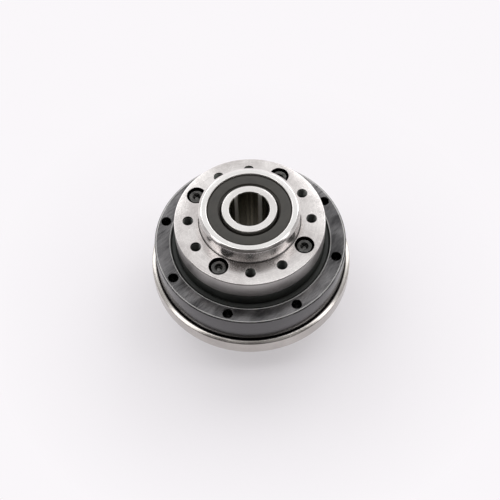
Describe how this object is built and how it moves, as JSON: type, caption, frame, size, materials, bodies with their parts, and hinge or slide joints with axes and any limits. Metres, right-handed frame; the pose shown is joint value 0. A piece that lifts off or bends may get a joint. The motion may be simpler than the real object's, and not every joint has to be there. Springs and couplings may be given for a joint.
{
  "type": "strain wave gear",
  "caption": "Round reduction gear unit with a hollow input shaft, a stepped steel output flange with tapped holes, a dark bearing ring and a bolted housing lip.",
  "frame": {"origin": "on the axis of rotation at the shaft's input end, which the unit stands on", "axes": "+Z along the axis of rotation, from the input side to the output flange; +X midway between two tapped output holes"},
  "size_m": [0.074, 0.074, 0.0525],
  "materials": {
    "ground_steel": "turned and ground, bright",
    "dark_steel": "hardened, ground over a dark oxide",
    "black_steel": "black oxide, oiled",
    "screw_steel": "black oxide",
    "bearing_steel": "polished bearing steel",
    "flexspline_steel": "fine turned",
    "shaft_steel": "turned, ground at the seats",
    "seal_rubber": "matt nitrile rubber",
    "cage_brass": "stamped",
    "cage_plastic": "moulded",
    "spacer_plastic": "moulded"
  },
  "bodies": {
    "housing": {"input_housing": "ground_steel", "outer_bearing_ring": "dark_steel", "loading_plug": "dark_steel", "plug_pin": "bearing_steel", "flexspline": "flexspline_steel", "input_bearing_outer_race": "bearing_steel", "input_bearing_shields": "bearing_steel", "input_shaft_seal": "seal_rubber", "input_seal_spring": "bearing_steel", "output_seal": "seal_rubber", "housing_o_ring": "seal_rubber", "ring_o_ring": "seal_rubber", "housing_screws": "screw_steel"},
    "input": {"hollow_shaft": "shaft_steel", "flex_bearing_inner_race": "bearing_steel", "flex_bearing_outer_race": "bearing_steel", "flex_bearing_balls": "bearing_steel", "flex_bearing_cage": "cage_plastic", "output_bearing_inner_race": "bearing_steel", "input_bearing_inner_race": "bearing_steel", "output_circlip": "screw_steel", "input_circlip": "screw_steel"},
    "output": {"output_flange": "ground_steel", "circular_spline": "black_steel", "inner_bearing_ring": "bearing_steel", "output_screws": "screw_steel", "flange_o_ring": "seal_rubber", "output_bearing_outer_race": "bearing_steel", "output_bearing_shields": "bearing_steel", "output_shaft_seal": "seal_rubber", "output_seal_spring": "bearing_steel"},
    "input_ball_row": {"input_bearing_balls": "bearing_steel", "input_bearing_cage": "cage_brass"},
    "output_ball_row": {"output_bearing_balls": "bearing_steel", "output_bearing_cage": "cage_brass"},
    "roller_row": {"crossed_rollers": "bearing_steel", "roller_spacers": "spacer_plastic"}
  },
  "joints": [
    {"name": "input_spin", "type": "hinge", "parent": "housing", "child": "input", "pos_m": [0, 0, 0.025], "axis": [0, 0, 1], "continuous": true, "deforming": ["flexspline"]},
    {"name": "output_spin", "type": "hinge", "parent": "housing", "child": "output", "pos_m": [0, 0, 0.025], "axis": [0, 0, 1], "continuous": true},
    {"name": "input_ball_row_roll", "type": "hinge", "parent": "housing", "child": "input_ball_row", "pos_m": [0, 0, 0.025], "axis": [0, 0, 1], "continuous": true},
    {"name": "output_ball_row_roll", "type": "hinge", "parent": "housing", "child": "output_ball_row", "pos_m": [0, 0, 0.025], "axis": [0, 0, 1], "continuous": true},
    {"name": "roller_row_roll", "type": "hinge", "parent": "housing", "child": "roller_row", "pos_m": [0, 0, 0.025], "axis": [0, 0, 1], "continuous": true}
  ],
  "couplings": [
    {"joint": "output_spin", "follows": "input_spin", "ratio": 0.019608},
    {"joint": "input_ball_row_roll", "follows": "input_spin", "ratio": 0.43269},
    {"joint": "output_ball_row_roll", "follows": "input_spin", "ratio": 0.44382},
    {"joint": "roller_row_roll", "follows": "input_spin", "ratio": 0.009419}
  ]
}
